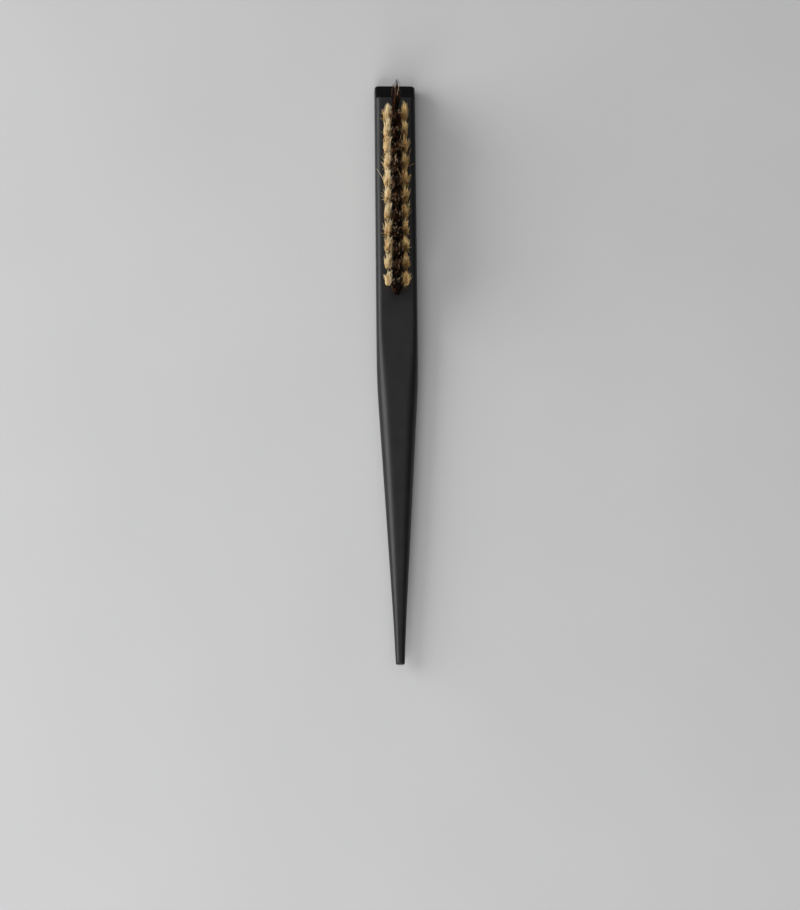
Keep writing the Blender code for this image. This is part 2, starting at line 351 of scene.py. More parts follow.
def close_tree(nodes, geometry, material):
    """Ends a tree: realises what it made, gives it the material and hands it out."""
    real = nodes.field("GeometryNodeRealizeInstances", {"Geometry": geometry})
    dressed = nodes.field("GeometryNodeSetMaterial", {"Geometry": real, "Material": material})
    nodes.add("NodeGroupOutput", {0: dressed})
    return nodes.tree


def grow(name, tree, sizes, points, edges=()):
    """Runs a tree on a few points and gives the result as a plain mesh object."""
    seed_mesh = bpy.data.meshes.new(name + "_seed")
    seed_mesh.from_pydata(points, edges, [])
    piece = bpy.data.objects.new(name, seed_mesh)
    modifier = piece.modifiers.new("grow", "NODES")
    modifier.node_group = tree
    for item in tree.interface.items_tree:
        if item.in_out == "INPUT" and item.name in sizes:
            modifier[item.identifier] = sizes[item.name]
    bpy.context.scene.collection.objects.link(piece)
    depsgraph = bpy.context.evaluated_depsgraph_get()
    shaped = piece.evaluated_get(depsgraph)
    grown = bpy.data.meshes.new_from_object(shaped, preserve_all_data_layers=True, depsgraph=depsgraph)
    piece.modifiers.remove(modifier)
    piece.data = grown
    grown.name = name
    bpy.data.meshes.remove(seed_mesh)
    if not grown.polygons:
        raise RuntimeError(f"{name} came out empty")
    return piece


def tuft_site(node):
    """Where a tuft stands on the bristle face: the middle of its root below the face."""
    roots = [v.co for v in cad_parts[node].data.vertices if v.co.z < handle_high.z - ROOT_BELOW_FACE]
    xs = [co.x for co in roots]
    ys = [co.y for co in roots]
    return Vector(((min(xs) + max(xs)) / 2, (min(ys) + max(ys)) / 2, handle_high.z))


# Materials

# Noise seldom leaves these bounds.
NOISE_LOW = 0.3
NOISE_HIGH = 0.7

# Cells per metre
PLASTIC_CLOUD = 180.0
PLASTIC_GRAIN = 5200.0
BRISTLE_STREAK = 900.0
BRASS_STREAK = 2600.0
PAPER_MOTTLE = 14.0

PLASTIC_GRAIN_DEPTH = 0.000012
BRASS_STREAK_DEPTH = 0.00001

# Darkest and lightest shade, as shares of the base colour
PLASTIC_SHADES = (0.85, 1.15)
# Painted shade on the nose facet: its black is halved
FACET_PAINTED_SHADE = 0.5
DARK_SHADES = (0.7, 1.5)
WARM_SHADES = (0.6, 1.3)
BRASS_SHADES = (0.75, 1.0)
PAPER_SHADES = (0.985, 1.015)

SHEEN_SWING = 0.03
BLONDE_ROUGHNESS = (0.42, 0.58)
DARK_ROUGHNESS = (0.22, 0.40)
BRASS_ROUGHNESS = (0.28, 0.42)
PAPER_ROUGHNESS = 0.85

# Shares of its length between which a strand turns from its root's colour to its tip's
FINE_TURN = (0.05, 0.75)
BROWN_TURN = (0.10, 1.0)
DARK_TURN = (0.2, 1.0)

# Shares of its length between which a dark strand's pale flagged tip starts; these pale tips are partly
# painted highlight, standing for glints on the tips
PALE_TIP_AND_GLINT_START = (0.91, 0.95)

# What makes a blonde strand brown: its own shade, its wisp's tone and streaks
BROWN_BY_STRAND = 0.3
BROWN_BY_WISP = 0.7
BROWN_BY_STREAK = 0.2
BROWN_FROM = (0.58, 0.90)
ROW_BORDER = 0.001

# Shades between which a dark strand turns into another kind
# Pale tips, partly real flagged ends and partly painted highlight for glints on the tips
PALE_TIP_AND_GLINT_STRANDS = (0.085, 0.09)
WARM_STRANDS = (0.88, 0.90)
PALE_STRANDS = (0.975, 0.985)


def new_material(name, specular=0.5):
    """An empty node material; gives it, its nodes and its main shader."""
    material = bpy.data.materials.new(name)
    material.use_nodes = True
    material.node_tree.nodes.clear()
    nodes = Nodes(material.node_tree)
    shader = nodes.add("ShaderNodeBsdfPrincipled", {"Specular IOR Level": specular})
    nodes.add("ShaderNodeOutputMaterial", {"Surface": shader.outputs[0]})
    return material, nodes, shader


def colour(rgb):
    return (*rgb, 1.0)


def mix_colours(nodes, share, first, second, kind="MIX"):
    """Runs from the first colour to the second, or with MULTIPLY to the first tinted by the second."""
    node = nodes.add("ShaderNodeMix", {"Factor": share}, data_type="RGBA", blend_type=kind)
    nodes.feed(node.inputs[6], first)
    nodes.feed(node.inputs[7], second)
    return Field(nodes, node.outputs[2])


def shades(nodes, share, base, bounds):
    """Runs from a darker shade of a base colour to a lighter one."""
    darkest, lightest = (colour(Vector(base) * bound) for bound in bounds)
    return mix_colours(nodes, share, darkest, lightest)


def attribute(nodes, name):
    """A value that a piece's tree keeps on its points."""
    return nodes.field("ShaderNodeAttribute", output="Fac", attribute_name=name)


def place_on_piece(nodes):
    """The piece's own coordinates."""
    return nodes.add("ShaderNodeTexCoord").outputs["Object"]


def noise(nodes, scale, detail):
    """Noise on the piece's own coordinates, scale in cells per metre."""
    return nodes.field("ShaderNodeTexNoise",
                       {"Vector": place_on_piece(nodes), "Scale": scale, "Detail": detail})


def swing(nodes, pattern, low=0.0, high=1.0):
    """A noise pattern, stretched to run from low to high."""
    return nodes.ramp(pattern, NOISE_LOW, NOISE_HIGH, low, high)


def bump(nodes, shader, height, depth):
    """Raises the surface's shading by a height pattern."""
    node = nodes.add("ShaderNodeBump", {"Height": height, "Distance": depth})
    nodes.feed(shader.inputs["Normal"], node.outputs[0])


def plastic_material(settings):
    """Black satin moulding: fine spark-eroded grain, slightly uneven sheen, polished nose facet, whose black
    is darkened as painted shade.
    """
    material, nodes, shader = new_material("satin_black_plastic", specular=0.25)
    cloud = noise(nodes, PLASTIC_CLOUD, detail=4.0)
    grain = noise(nodes, PLASTIC_GRAIN, detail=2.0)
    facet = attribute(nodes, "facet")
    base = Vector(settings.plastic_colour)
    satin = shades(nodes, swing(nodes, cloud), base, PLASTIC_SHADES)
    # Painted shade: the nose facet takes a darker black than the rest of the moulding.
    nodes.feed(shader.inputs["Base Color"], mix_colours(nodes, facet, satin, colour(base * FACET_PAINTED_SHADE)))
    rough = settings.plastic_roughness
    uneven = swing(nodes, cloud, rough - SHEEN_SWING, rough + SHEEN_SWING)
    uneven = uneven + swing(nodes, grain, -SHEEN_SWING, SHEEN_SWING)
    nodes.feed(shader.inputs["Roughness"], nodes.blend(facet, uneven, settings.facet_roughness))
    bump(nodes, shader, grain, PLASTIC_GRAIN_DEPTH)
    return material


def light_bristle_material(settings):
    """Blonde natural bristle: browner at the root and in some wisps; the right row is darkened as painted
    shade.
    """
    material, nodes, shader = new_material("blonde_natural_bristle", specular=0.2)
    along = attribute(nodes, "along")
    shade = attribute(nodes, "shade")
    tone = attribute(nodes, "tone")
    across = nodes.parts(place_on_piece(nodes))[0]
    root = Vector(settings.root_colour)
    tip = Vector(settings.tip_colour)
    tan = Vector(settings.tan_tint)
    fine = mix_colours(nodes, nodes.ramp(along, *FINE_TURN, smooth=True), colour(root), colour(tip))
    brown = mix_colours(nodes, nodes.ramp(along, *BROWN_TURN, smooth=True),
                        colour(root * tan), colour(tip * tan))
    browner = shade * BROWN_BY_STRAND + tone * BROWN_BY_WISP
    browner = browner + noise(nodes, BRISTLE_STREAK, detail=2.0) * BROWN_BY_STREAK
    mixed = mix_colours(nodes, nodes.ramp(browner, *BROWN_FROM), fine, brown)
    # Painted shade over the right row: its colours are multiplied by a deeper tint.
    shaded_right_row = nodes.ramp(across, -ROW_BORDER, ROW_BORDER)
    nodes.feed(shader.inputs["Base Color"],
               mix_colours(nodes, shaded_right_row, mixed, colour(settings.right_row_painted_shade), "MULTIPLY"))
    nodes.feed(shader.inputs["Roughness"], nodes.ramp(shade, 0.0, 1.0, *BLONDE_ROUGHNESS))
    return material


def dark_bristle_material(settings):
    """Near-black bristle with red-brown strands, a few pale ones and some pale flagged tips, which are partly
    painted highlight for glints on the tips.
    """
    material, nodes, shader = new_material("dark_mixed_bristle", specular=0.10)
    along = attribute(nodes, "along")
    shade = attribute(nodes, "shade")
    pale = colour(settings.pale_colour)
    turn = nodes.ramp(along, *DARK_TURN)
    plain = shades(nodes, turn, settings.strand_colour, DARK_SHADES)
    ruddy = shades(nodes, turn, settings.warm_colour, WARM_SHADES)
    some_warm = mix_colours(nodes, nodes.ramp(shade, *WARM_STRANDS), plain, ruddy)
    some_pale = mix_colours(nodes, nodes.ramp(shade, *PALE_STRANDS), some_warm, pale)
    # Pale tips on a share of strands: partly real flagged ends, partly painted highlight for glints.
    flagged_tips_and_glints = nodes.ramp(shade, *PALE_TIP_AND_GLINT_STRANDS, 1.0, 0.0) * nodes.ramp(along, *PALE_TIP_AND_GLINT_START)
    nodes.feed(shader.inputs["Base Color"], mix_colours(nodes, flagged_tips_and_glints, some_pale, pale))
    nodes.feed(shader.inputs["Roughness"], nodes.ramp(shade, 0.0, 1.0, *DARK_ROUGHNESS))
    return material


def metal_material(settings):
    """Drawn brass strip, dulled where it was stamped."""
    material, nodes, shader = new_material("stamped_brass")
    drawn = noise(nodes, BRASS_STREAK, detail=3.0)
    brass = shades(nodes, swing(nodes, drawn), settings.metal_colour, BRASS_SHADES)
    nodes.feed(shader.inputs["Base Color"], brass)
    nodes.feed(shader.inputs["Roughness"], swing(nodes, drawn, *BRASS_ROUGHNESS))
    shader.inputs["Metallic"].default_value = 1.0
    bump(nodes, shader, drawn, BRASS_STREAK_DEPTH)
    return material


def floor_material(settings):
    """Plain matt paper floor."""
    material, nodes, shader = new_material("pale_paper_floor", specular=0.2)
    mottle = noise(nodes, PAPER_MOTTLE, detail=3.0)
    paper = shades(nodes, swing(nodes, mottle), settings.floor_colour, PAPER_SHADES)
    nodes.feed(shader.inputs["Base Color"], paper)
    shader.inputs["Roughness"].default_value = PAPER_ROUGHNESS
    return material


# Handle

# How many sections each stretch of the loft has
END_STATIONS = 8
TAIL_STATIONS = 44
SHOULDER_STATIONS = 32
HEAD_STATIONS = 48
CREASE_STATIONS = 24
NOSE_STATIONS = 14
CREASE_REACH = 0.001
STATION_DIGITS = 7

# Points round a section; FLAT_SHARE of a quarter lies on each of its flats, crowded towards the corner
RING_POINTS = 96
RING_RADIUS = 0.001
FLAT_SHARE = 0.25
FLAT_CROWDING = 2.5

# Heights round the section, from -1 to 1, between which the facet's finish starts
FACET_TURN = (0.1, 0.3)

SOCKET_SIDES = 28
SMOOTH_ANGLE = math.radians(28)
HANDLE_INPUTS = (
    "head_length", "head_width", "head_thickness", "edge_radius", "shoulder_length", "edge_lead", "tip_width",
    "tip_thickness", "tip_flare", "tip_flare_length", "tail_roundness", "tail_fullness", "nose_length",
    "nose_drop", "nose_corner_radius", "nose_edge_radius", "nose_edge_blend", "nose_end_radius",
    "tip_end_radius", "crease_softness", "socket_depth", "socket_rim",
)


def handle_stations(settings):
    """Places along the handle at which its section is worked out, closer where it curves."""
    nose = handle_high.y
    tip = handle_low.y
    shoulder = nose - settings.head_length
    crease = nose - settings.nose_length
    corner = nose - settings.nose_corner_radius

    def evenly(start, end, count):
        return [start + (end - start) * i / count for i in range(count)]

    def rounded(start, reach, count):
        return [start + reach * (1 - math.cos(math.pi / 2 * i / count)) for i in range(count)]

    places = rounded(tip, settings.tip_end_radius, END_STATIONS)
    places += evenly(tip + settings.tip_end_radius, shoulder - settings.shoulder_length, TAIL_STATIONS)
    places += evenly(shoulder - settings.shoulder_length, shoulder, SHOULDER_STATIONS)
    places += evenly(shoulder, crease - CREASE_REACH, HEAD_STATIONS)
    places += evenly(crease - CREASE_REACH, crease + CREASE_REACH, CREASE_STATIONS)
    places += evenly(crease + CREASE_REACH, corner, NOSE_STATIONS)
    turning = rounded(corner, settings.nose_corner_radius, NOSE_STATIONS)
    places += [corner + nose - place for place in reversed(turning)]
    places += [2 * nose - place for place in rounded(nose, settings.nose_end_radius, END_STATIONS)]
    return sorted({round(place, STATION_DIGITS) for place in places})


def handle_sizes(settings, sites, plastic):
    """What the handle's tree is given."""
    return labelled(settings, *HANDLE_INPUTS) | {
        "Nose": handle_high.y,
        "Tip": handle_low.y,
        "Socket radius": settings.socket_diameter / 2,
        "Tuft sites": sites,
        "Plastic": plastic,
    }


def end_inset(nodes, distance, radius):
    """How far a rounded end draws the outline in, at a distance from that end."""
    over = nodes.math("MAXIMUM", radius - distance, 0.0)
    return radius - nodes.math("SQRT", radius * radius - over * over)


def handle_tree(sizes):
    """Lofts the handle's rounded section along its length, with a sloping nose, and sinks its sockets."""
    nodes, size = geometry_tree("handle_loft", sizes)
    half_pi = math.pi / 2

    # One ring of points is carried along the stations and then shaped.
    spine = nodes.field("GeometryNodeMeshToCurve", {"Mesh": size["Geometry"]})
    spine = nodes.store(spine, "station", nodes.parts(nodes.field("GeometryNodeInputPosition"))[1])
    ring = nodes.field("GeometryNodeCurvePrimitiveCircle",
                       {"Resolution": RING_POINTS, "Radius": RING_RADIUS})
    ring = nodes.store(ring, "around", nodes.field("GeometryNodeSplineParameter"))
    tube = nodes.field("GeometryNodeCurveToMesh",
                       {"Curve": spine, "Profile Curve": ring, "Fill Caps": True})
    y = nodes.named("station")
    around = nodes.named("around")

    # Width, thickness and corner radius of the section at this station; the face falls at the nose.
    below = size["Nose"] - size["Head length"] - y
    shoulder = size["Shoulder length"]
    eased = nodes.math("MINIMUM", nodes.math("MAXIMUM", below, 0.0), shoulder)
    straight = size["Nose"] - size["Tip"] - size["Head length"] - shoulder * 0.5
    taper = (eased * eased / (shoulder * 2.0) + nodes.math("MAXIMUM", below - shoulder, 0.0)) / straight
    near_tip = nodes.math("MAXIMUM", 1.0 - (y - size["Tip"]) / size["Tip flare length"], 0.0)
    flare = near_tip * near_tip * size["Tip flare"]
    past_crease = y - size["Nose"] + size["Nose length"]
    slope = size["Nose drop"] / size["Nose length"]
    fall = nodes.math("SMOOTH_MAX", past_crease, 0.0, size["Crease softness"]) * slope
    half_width = (nodes.blend(taper, size["Head width"], size["Tip width"]) + flare) * 0.5
    half_width = half_width - end_inset(nodes, size["Nose"] - y, size["Nose corner radius"])
    thinning = taper ** size["Tail fullness"]
    thickness = nodes.blend(thinning, size["Head thickness"], size["Tip thickness"])
    half_thickness = (thickness + flare - fall) * 0.5
    tail_radius = size["Tail roundness"] * nodes.math("MINIMUM", half_width, half_thickness)
    turn = around * (2 * math.pi)
    upward = nodes.math("SINE", turn)
    sharper = nodes.ramp(past_crease, 0.0, size["Nose edge blend"])
    sharper = sharper * nodes.math("GREATER_THAN", upward, 0.0)
    head_radius = nodes.blend(sharper, size["Edge radius"], size["Nose edge radius"])
    head_radius = nodes.math("MINIMUM", head_radius, tail_radius)
    rounder = nodes.ramp(below, size["Edge lead"] * -1.0, shoulder, smooth=True)
    radius = nodes.blend(rounder, head_radius, tail_radius)
    inset = end_inset(nodes, size["Nose"] - y, size["Nose end radius"])
    inset = inset + end_inset(nodes, y - size["Tip"], size["Tip end radius"])

    # Rounded rectangle, a quarter at a time: half a side, a corner arc, half a top.
    quarter = nodes.math("PINGPONG", around * 4.0, 1.0)
    arc = nodes.ramp(quarter, FLAT_SHARE, 1.0 - FLAT_SHARE, 0.0, half_pi)
    side_flat = nodes.ramp(quarter, 0.0, FLAT_SHARE, 1.0, 0.0) ** FLAT_CROWDING
    top_flat = nodes.ramp(quarter, 1.0 - FLAT_SHARE, 1.0, 0.0, 1.0) ** FLAT_CROWDING
    reach = radius - inset
    x = (half_width - radius) * (1.0 - top_flat) + reach * nodes.math("COSINE", arc)
    z = (half_thickness - radius) * (1.0 - side_flat) + reach * nodes.math("SINE", arc)
    x = x * nodes.math("SIGN", nodes.math("COSINE", turn))
    z = z * nodes.math("SIGN", upward) + (size["Head thickness"] - fall) * 0.5
    # Marks the nose facet, for its finer finish and for its painted shade.
    facet = nodes.ramp(past_crease, 0.0, size["Crease softness"]) * nodes.ramp(upward, *FACET_TURN)
    shaped = nodes.store(tube, "facet", facet)
    shaped = nodes.field("GeometryNodeSetPosition",
                         {"Geometry": shaped, "Position": nodes.vector(x, y, z)})

    # Every tuft's socket is a drilled hole with a chamfered mouth.
    rim = size["Socket rim"]
    drill = nodes.field("GeometryNodeMeshCylinder",
                        {"Vertices": SOCKET_SIDES, "Side Segments": 2, "Radius": 1.0, "Depth": 2.0})
    drill_x, drill_y, level = nodes.parts(nodes.field("GeometryNodeInputPosition"))
    mouth = nodes.ramp(level, 0.0, 1.0)
    wide = size["Socket radius"] + mouth * rim * 2.0
    height = nodes.ramp(level, -1.0, 0.0, -1.0, 0.0) * (size["Socket depth"] - rim)
    bored_out = nodes.vector(drill_x * wide, drill_y * wide, height + mouth * rim * 2.0 - rim)
    drill = nodes.field("GeometryNodeSetPosition", {"Geometry": drill, "Position": bored_out})
    sites = nodes.field("GeometryNodeObjectInfo", {"Object": size["Tuft sites"]}, output="Geometry")
    drills = nodes.field("GeometryNodeInstanceOnPoints", {"Points": sites, "Instance": drill})
    drills = nodes.field("GeometryNodeRealizeInstances", {"Geometry": drills})
    bored = nodes.field("GeometryNodeMeshBoolean", {"Mesh 1": shaped, "Mesh 2": drills},
                        operation="DIFFERENCE", solver="EXACT")

    # Smooth all over, with hard edges where the shape turns sharply.
    smooth = nodes.field("GeometryNodeSetShadeSmooth", {"Geometry": bored})
    angle = nodes.field("GeometryNodeInputMeshEdgeAngle")
    hard = nodes.math("GREATER_THAN", angle, SMOOTH_ANGLE)
    crisp = nodes.field("GeometryNodeSetShadeSmooth",
                        {"Geometry": smooth, "Selection": hard, "Shade Smooth": False}, domain="EDGE")
    tidy = nodes.forget(crisp, "station", "around")
    return close_tree(nodes, tidy, size["Plastic"])


def build_handle(settings):
    """The moulded handle, in place of its solid."""
    plastic = plastic_material(settings)
    site_mesh = bpy.data.meshes.new("tuft_sites")
    site_mesh.from_pydata([tuft_site(node) for node in LIGHT_TUFTS + DARK_TUFTS], [], [])
    sites = bpy.data.objects.new("tuft_sites", site_mesh)
    bpy.context.scene.collection.objects.link(sites)
    sizes = handle_sizes(settings, sites, plastic)
    places = handle_stations(settings)
    edges = [(i, i + 1) for i in range(len(places) - 1)]
    handle = grow("brush_handle", handle_tree(sizes), sizes, [(0, y, 0) for y in places], edges)
    bpy.data.objects.remove(sites)
    bpy.data.meshes.remove(site_mesh)
    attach(handle, BODY)
    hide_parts(HANDLE_NODE)


# Bristles

STRAND_STEPS = 8
STRAND_SIDES = 4
ROOT_DEPTH = 0.0053
ROOT_RADIUS = 0.0011
FOLD_DEPTH = 0.0008
ANCHOR_GAP = 0.0003
GOLDEN_ANGLE = math.pi * (3 - math.sqrt(5))
FIRST_SEED = 7
DRAWS_PER_SEED = 32.0

# Powers of the height with which a wisp turns out and a bristle thins
SPLAYING = 3.0
THINNING = 3.0

# Wisps: how many, and how far out they stand in shares of the tuft's radius
OUTER_FROM = 0.55
INNER_WISPS = 4.0
OUTER_WISPS = (10.0, 14.0)
WISP_TURN = (-0.35, 0.35)
INNER_OUT = (0.1, 0.7)
OUTER_OUT = (0.6, 1.1)
LOOSE_OUT = (0.5, 1.45)
GATHERING = (0.86, 1.0)
SPLAYED_SHARE = 0.45
SPLAY_REACH = (0.4, 1.2)

# How unlike the strands and wisps of a tuft are
LEAN_REACH = (0.35, 1.3)
STRAND_HEIGHT = (-0.6, 0.4)
WISP_HEIGHT = (-0.8, 0.4)
GIRTH = (0.75, 1.2)
EITHER_WAY = (-1.0, 1.0)
SHARE = (0.0, 1.0)

TUFT_INPUTS = ("length", "tip_taper", "length_scatter", "opening", "crown", "clumping", "splay", "wisp_point",
               "tuft_sway", "stray_share", "stray_reach", "bow")


def tuft_sizes(settings, towards_nose, strands, spread, merge, lean, seed, bristle):
    """What a tuft's tree is given; towards_nose is its place along the row."""

    def between(tail, nose):
        return tail + (nose - tail) * towards_nose

    return labelled(settings, *TUFT_INPUTS) | {
        "Strands": strands,
        "Strand radius": settings.strand_diameter / 2,
        "Tip radius": settings.tip_radius * spread,
        "Tip scatter": settings.tip_scatter * spread,
        "Merge": between(settings.merge_tail, settings.merge_nose) * merge,
        "Loose": between(settings.loose_tail, settings.loose_nose),
        "Lean": lean,
        "Seed": seed,
        "Bristle": bristle,
    }


def tuft_tree(sizes):
    """Grows one tuft: strands packed at the root, folded under the anchor and fanned at the tips."""
    nodes, size = geometry_tree("bristle_tuft", sizes)
    copies = nodes.add("GeometryNodeDuplicateElements",
                       {"Geometry": size["Geometry"], "Amount": size["Strands"]}, domain="POINT")
    strands = Field(nodes, copies.outputs[0])
    strand = Field(nodes, copies.outputs[1])
    tuft = 0
    seed = size["Seed"]

    def draw(item, bounds, number):
        """A random number for each strand or wisp, or for the whole tuft; each draw has its own number."""
        return nodes.random(*bounds, item, seed * DRAWS_PER_SEED + float(number))

    # Roots sit in a sunflower pattern, parted by the anchor.
    out = nodes.math("SQRT", (strand + 0.5) / size["Strands"])
    angle = strand * GOLDEN_ANGLE + draw(tuft, (0.0, 2 * math.pi), 0)
    root_x = out * nodes.math("COSINE", angle)
    root_y = out * nodes.math("SINE", angle)
    parted = nodes.math("SIGN", root_x) * ANCHOR_GAP + root_x * (ROOT_RADIUS - ANCHOR_GAP)
    root = nodes.vector(parted, root_y * ROOT_RADIUS, 0.0)

    # Above the face the tuft opens, and its tips gather into uneven wisps: a few in a ring of others.
    outer = nodes.math("GREATER_THAN", out, OUTER_FROM)
    wisps = nodes.blend(outer, INNER_WISPS, nodes.math("FLOOR", draw(tuft, OUTER_WISPS, 1)))
    sector = nodes.math("FLOOR", nodes.math("FRACT", angle / (2 * math.pi)) * wisps)
    wisp = sector + outer * INNER_WISPS
    wisp_turn = (sector + 0.5) / wisps * (2 * math.pi) + draw(wisp, WISP_TURN, 2)
    wisp_out = nodes.blend(outer, draw(wisp, INNER_OUT, 3), draw(wisp, OUTER_OUT, 3))
    loose = nodes.math("LESS_THAN", draw(strand, SHARE, 4), size["Loose"])
    loose_out = draw(strand, LOOSE_OUT, 23)
    wisp_x = nodes.math("COSINE", wisp_turn)
    wisp_y = nodes.math("SINE", wisp_turn)
    aside_x = nodes.blend(loose, wisp_out * wisp_x, loose_out * root_x) - root_x
    aside_y = nodes.blend(loose, wisp_out * wisp_y, loose_out * root_y) - root_y
    gather = size["Clumping"] * draw(strand, GATHERING, 5)
    turned_out = nodes.math("LESS_THAN", draw(wisp, SHARE, 20), SPLAYED_SHARE) * outer * (1.0 - loose)
    turned_out = turned_out * draw(wisp, SPLAY_REACH, 21) * size["Splay"]
    splay = nodes.vector(wisp_x * turned_out, wisp_y * turned_out, 0.0)
    stray = nodes.math("LESS_THAN", draw(strand, SHARE, 6), size["Stray share"])
    wander = size["Tip scatter"] + stray * size["Stray reach"]
    lean_x, lean_y, _ = nodes.parts(size["Lean"])
    lean_x = lean_x + draw(tuft, EITHER_WAY, 7) * size["Tuft sway"]
    lean_y = lean_y * draw(strand, LEAN_REACH, 19) + draw(tuft, EITHER_WAY, 8) * size["Tuft sway"]
    across_row = size["Tip radius"]
    along_row = across_row * size["Merge"]
    fan = nodes.vector(root_x * across_row, root_y * along_row, 0.0)
    tip = nodes.vector(aside_x * gather * across_row + draw(strand, EITHER_WAY, 9) * wander + lean_x,
                       aside_y * gather * along_row + draw(strand, EITHER_WAY, 10) * wander + lean_y, 0.0)
    tall = size["Length"] - size["Crown"] * out * out - size["Wisp point"] * draw(strand, SHARE, 11)
    uneven = draw(strand, STRAND_HEIGHT, 12) + draw(wisp, WISP_HEIGHT, 13)
    tall = tall + uneven * size["Length scatter"]
    bow = nodes.vector(*(draw(strand, EITHER_WAY, number) * size["Bow"] for number in (14, 15, 16)))

    for name, vector in (("root", root), ("fan", fan), ("tip", tip), ("splay", splay), ("bow", bow)):
        strands = nodes.store(strands, name, vector, "FLOAT_VECTOR")
    girth = draw(strand, GIRTH, 17)
    shade = draw(strand, SHARE, 18)
    tone = draw(wisp, SHARE, 22)
    for name, value in (("tall", tall), ("girth", girth), ("shade", shade), ("tone", tone)):
        strands = nodes.store(strands, name, value)

    # One straight line stands on each root, and is then bent to its strand.
    line = nodes.field("GeometryNodeCurvePrimitiveLine", {"Start": (0, 0, 0), "End": (0, 0, 1)})
    line = nodes.field("GeometryNodeResampleCurve", {"Curve": line, "Count": STRAND_STEPS + 1})
    lines = nodes.field("GeometryNodeInstanceOnPoints", {"Points": strands, "Instance": line})
    lines = nodes.field("GeometryNodeRealizeInstances", {"Geometry": lines})
    share = nodes.field("GeometryNodeSplineParameter")
    step = share * float(STRAND_STEPS)
    folded = nodes.ramp(step, 0.0, 1.0)
    above = nodes.ramp(step, 2.0, float(STRAND_STEPS))
    height = folded * FOLD_DEPTH + nodes.ramp(step, 1.0, 2.0) * (ROOT_DEPTH - FOLD_DEPTH) - ROOT_DEPTH
    height = height + above * nodes.named("tall")
    opened = 1.0 - (1.0 - above) ** size["Opening"]
    turned = above ** SPLAYING
    sway = above * (1.0 - above) * 4.0
    curl = above * nodes.math("SINE", above * (2 * math.pi))
    root_x, root_y, _ = nodes.parts(nodes.named("root", "FLOAT_VECTOR"))
    fan_x, fan_y, _ = nodes.parts(nodes.named("fan", "FLOAT_VECTOR"))
    tip_x, tip_y, _ = nodes.parts(nodes.named("tip", "FLOAT_VECTOR"))
    splay_x, splay_y, _ = nodes.parts(nodes.named("splay", "FLOAT_VECTOR"))
    bow_x, bow_y, bow_more = nodes.parts(nodes.named("bow", "FLOAT_VECTOR"))
    x = nodes.blend(opened, root_x, fan_x) + tip_x * above + splay_x * turned
    y = nodes.blend(opened, root_y, fan_y) + tip_y * above + splay_y * turned
    x = x + bow_x * sway + bow_more * curl
    y = y + bow_y * sway - bow_more * curl
    lines = nodes.field("GeometryNodeSetPosition",
                        {"Geometry": lines, "Offset": nodes.vector(x * folded, y, height - share)})
    lines = nodes.store(lines, "along", above)
    thick = size["Strand radius"] * nodes.named("girth") * (1.0 - above ** THINNING * size["Tip taper"])
    profile = nodes.field("GeometryNodeCurvePrimitiveCircle",
                          {"Resolution": STRAND_SIDES, "Radius": 1.0})
    hair = nodes.field("GeometryNodeCurveToMesh", {"Curve": lines, "Profile Curve": profile,
                                                   "Scale": thick, "Fill Caps": True})
    hair = nodes.field("GeometryNodeSetShadeSmooth", {"Geometry": hair})
    hair = nodes.forget(hair, "root", "fan", "tip", "splay", "bow", "tall", "girth")
    return close_tree(nodes, hair, size["Bristle"])


def build_tuft(tree, node, sizes):
    """One piece of strands in place of a tuft's solid."""
    tuft = grow(node + "_bristles", tree, sizes, [tuft_site(node)])
    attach(tuft, BODY)
    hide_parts(node)


def places_along(row):
    """Each tuft's place along its row, from 0 at the tail end to 1 at the nose."""
    places = [tuft_site(node).y for node in row]
    return [(place - min(places)) / (max(places) - min(places)) for place in places]


def build_light_tufts(settings):
    """The two outer rows; the left one runs together, and the right one is combed a little to the left."""
    bristle = light_bristle_material(settings)
    tree = None
    for number, (node, place) in enumerate(zip(LIGHT_TUFTS, places_along(LIGHT_TUFTS))):
        merge = settings.left_merge
        lean = Vector((0.0, 0.0, 0.0))
        if number == 0:
            merge = settings.first_merge
        elif node.startswith("right"):
            merge = 1.0
            lean.x = -settings.right_lean
        seed = FIRST_SEED + number
        sizes = tuft_sizes(settings, place, settings.strands, 1.0, merge, lean, seed, bristle)
        tree = tree or tuft_tree(sizes)
        build_tuft(tree, node, sizes)


def build_dark_tufts(settings):
    """The centre row, whose first tuft is worn thin and leans over the nose."""
    bristle = dark_bristle_material(settings)
    tree = None
    for number, (node, place) in enumerate(zip(DARK_TUFTS, places_along(DARK_TUFTS))):
        strands = settings.strands
        spread = 1.0
        lean = Vector((0.0, 0.0, 0.0))
        if number == 0:
            strands = round(strands * settings.end_share)
            spread = settings.end_spread
            lean.y = settings.end_lean
        seed = FIRST_SEED + number
        sizes = tuft_sizes(settings, place, strands, spread, 1.0, lean, seed, bristle)
        tree = tree or tuft_tree(sizes)
        build_tuft(tree, node, sizes)


# Anchors

# A plate is a chamfer, its full outline and a chamfer; its corners' radius is in chamfers.
PLATE_STEPS = 3
CORNER_POINTS = 3
CORNER_RADIUS = 4.0


